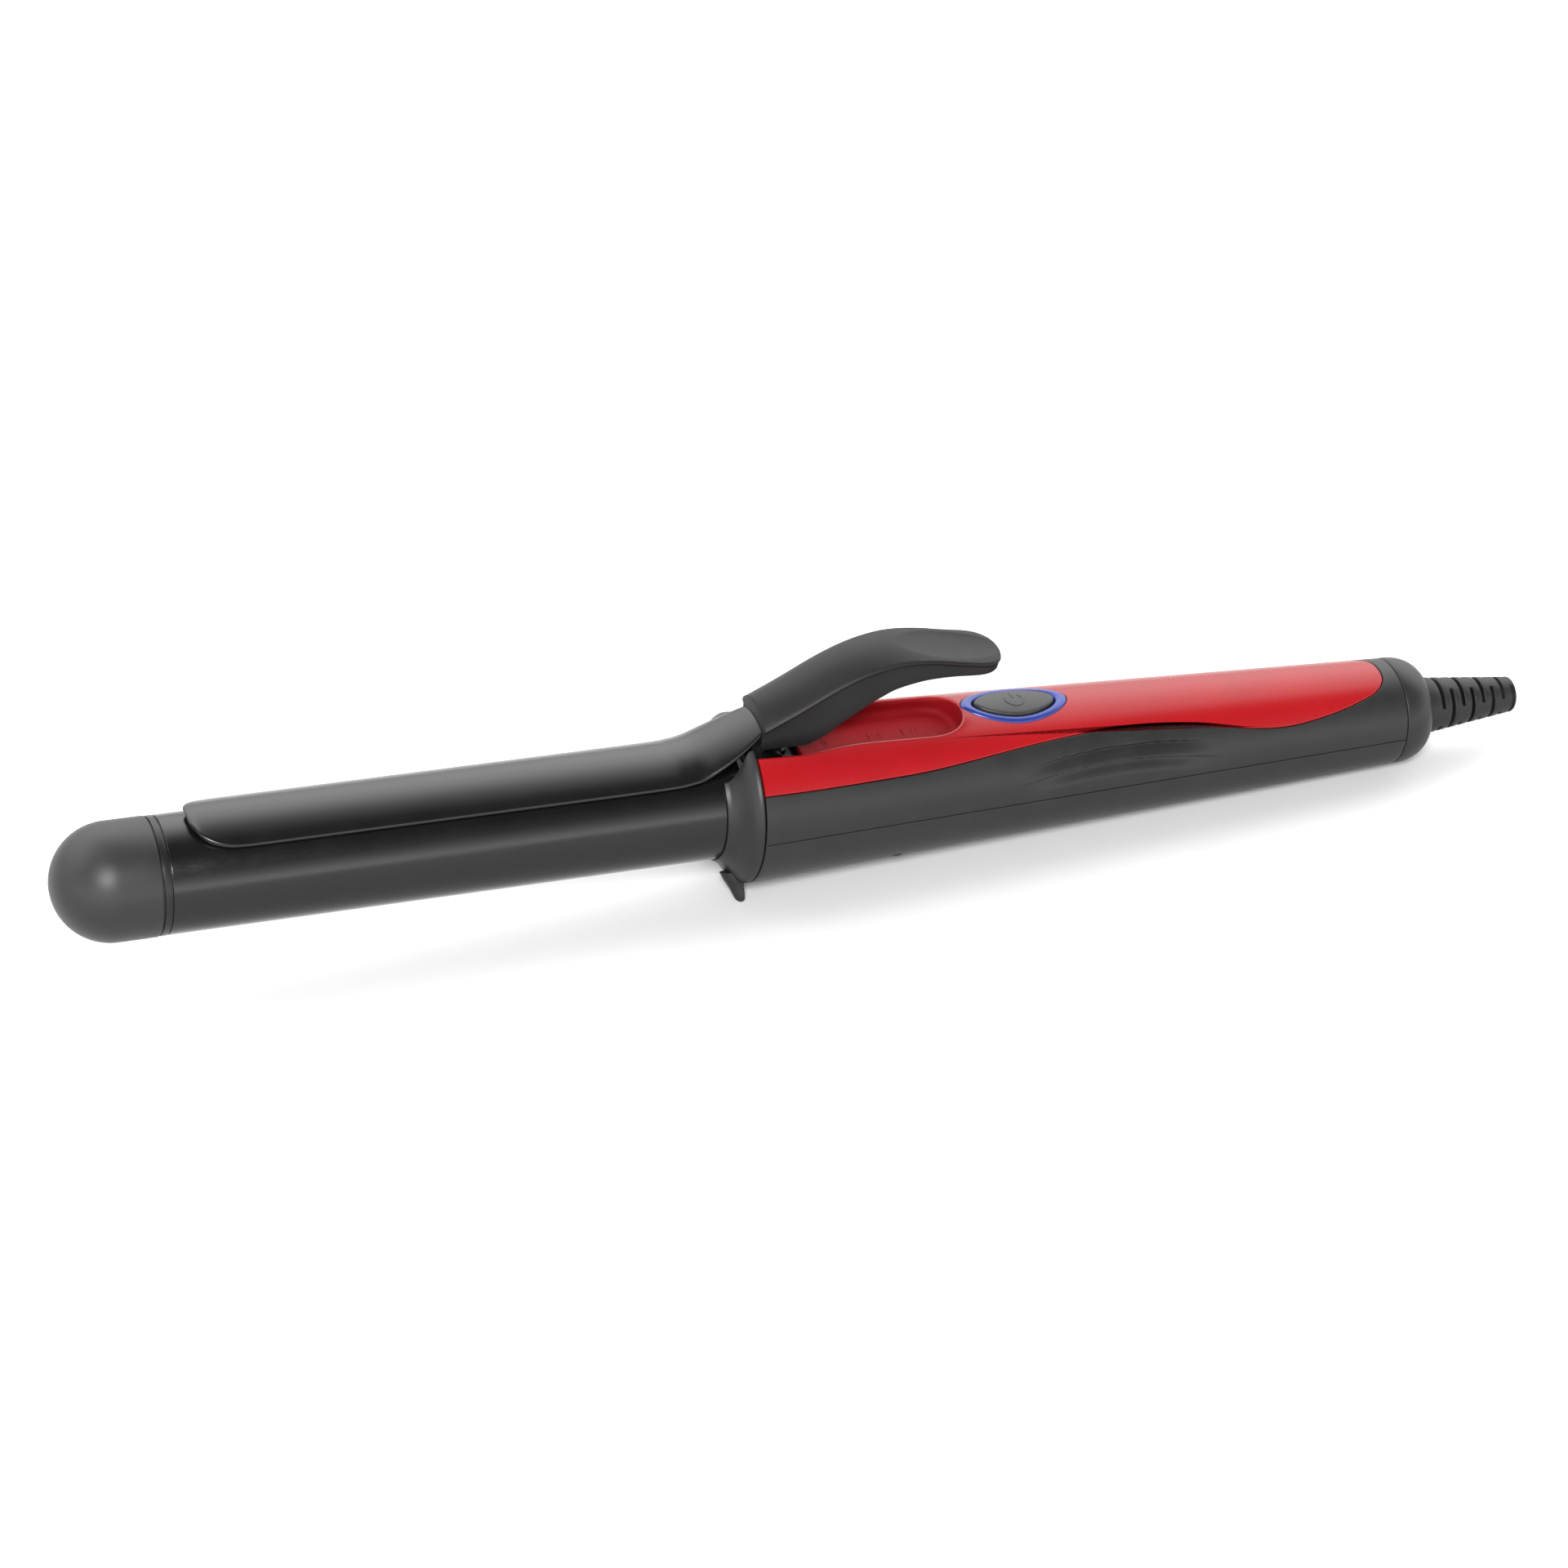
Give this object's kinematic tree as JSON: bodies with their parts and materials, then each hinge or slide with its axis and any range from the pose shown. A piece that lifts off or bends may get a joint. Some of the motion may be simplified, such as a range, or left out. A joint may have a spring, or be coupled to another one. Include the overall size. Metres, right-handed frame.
{
  "type": "curling iron",
  "caption": "Curling iron with a round heated barrel, spring clamp with thumb lever, tapered handle with inset panel and power button, and a swivel cord outlet.",
  "frame": {"origin": "centre of the cord bore's mouth at the rear end of the strain relief", "axes": "+X along the iron out of the cord outlet, the tip points to -X; +Z towards the thumb lever; +Y to the left of a user who looks along +X"},
  "size_m": [0.3392, 0.0372, 0.0556],
  "materials": {
    "tip_plastic": "matte, heat resistant",
    "black_barrel": "gloss black ceramic coating",
    "black_clamp": "gloss black coating",
    "ring_plastic": "satin",
    "grip_plastic": "satin, fine grain",
    "lever_plastic": "satin, fine grain",
    "red_plastic": "gloss",
    "blue_plastic": "gloss",
    "button_plastic": "satin",
    "relief_rubber": "matte",
    "aluminium": "satin",
    "ptc_ceramic": "matte sintered ceramic",
    "brass": "satin",
    "polyimide_film": "gloss film",
    "lead_insulation": "matte silicone",
    "fuse_ceramic": "matte",
    "holder_plastic": "matte glass filled",
    "steel": "plated",
    "dark_steel": "black oxide",
    "board": "satin solder mask",
    "black_component": "matte",
    "white_plastic": "matte",
    "capacitor_film": "gloss",
    "resistor_body": "matte",
    "led_lens": "clear gloss"
  },
  "bodies": {
    "root": {"tip_cap": "tip_plastic", "tip_ring": "ring_plastic", "barrel_tube": "black_barrel", "heater_shoe_upper": "aluminium", "heater_shoe_lower": "aluminium", "ptc_tablets": "ptc_ceramic", "electrode_strips": "brass", "insulation_films": "polyimide_film", "thermal_fuse": "fuse_ceramic", "heater_leads": "lead_insulation", "barrel_holder": "holder_plastic", "barrel_screws": "steel", "collar": "grip_plastic", "hinge_bracket": "dark_steel", "bracket_screws": "dark_steel", "hinge_pin": "dark_steel", "torsion_spring": "dark_steel", "upper_shell": "grip_plastic", "lower_shell": "grip_plastic", "top_panel": "red_plastic", "button_ring": "blue_plastic", "switch_body": "black_component", "control_board": "board", "filter_capacitor": "capacitor_film", "power_triac": "black_component", "board_resistors": "resistor_body", "indicator_led": "led_lens", "board_screws": "steel", "shell_screws": "steel", "supply_leads": "lead_insulation", "contact_carrier": "white_plastic", "contact_blades": "brass", "end_cap": "grip_plastic"},
    "clamp": {"clamp_plate": "black_clamp", "thumb_lever": "lever_plastic", "lever_screws": "steel"},
    "button": {"power_button": "button_plastic", "switch_plunger": "white_plastic"},
    "swivel": {"strain_relief": "relief_rubber", "swivel_drum": "white_plastic", "slip_rings": "brass"}
  },
  "joints": [
    {"name": "clamp_hinge", "type": "hinge", "parent": "root", "child": "clamp", "pos_m": [-0.185, 0, 0.0125], "axis": [0, 1, 0], "range_deg": [0, 10], "stiffness_Nm_per_rad": 0.6, "springref_deg": -17.19, "deforming": ["torsion_spring"]},
    {"name": "button_press", "type": "slide", "parent": "root", "child": "button", "axis": [0, 0, -1], "range_m": [0, 0.0008], "stiffness_N_per_m": 600, "springref_m": -0.0008},
    {"name": "cord_swivel", "type": "hinge", "parent": "root", "child": "swivel", "pos_m": [0, 0, 0], "axis": [1, 0, 0], "continuous": true}
  ]
}
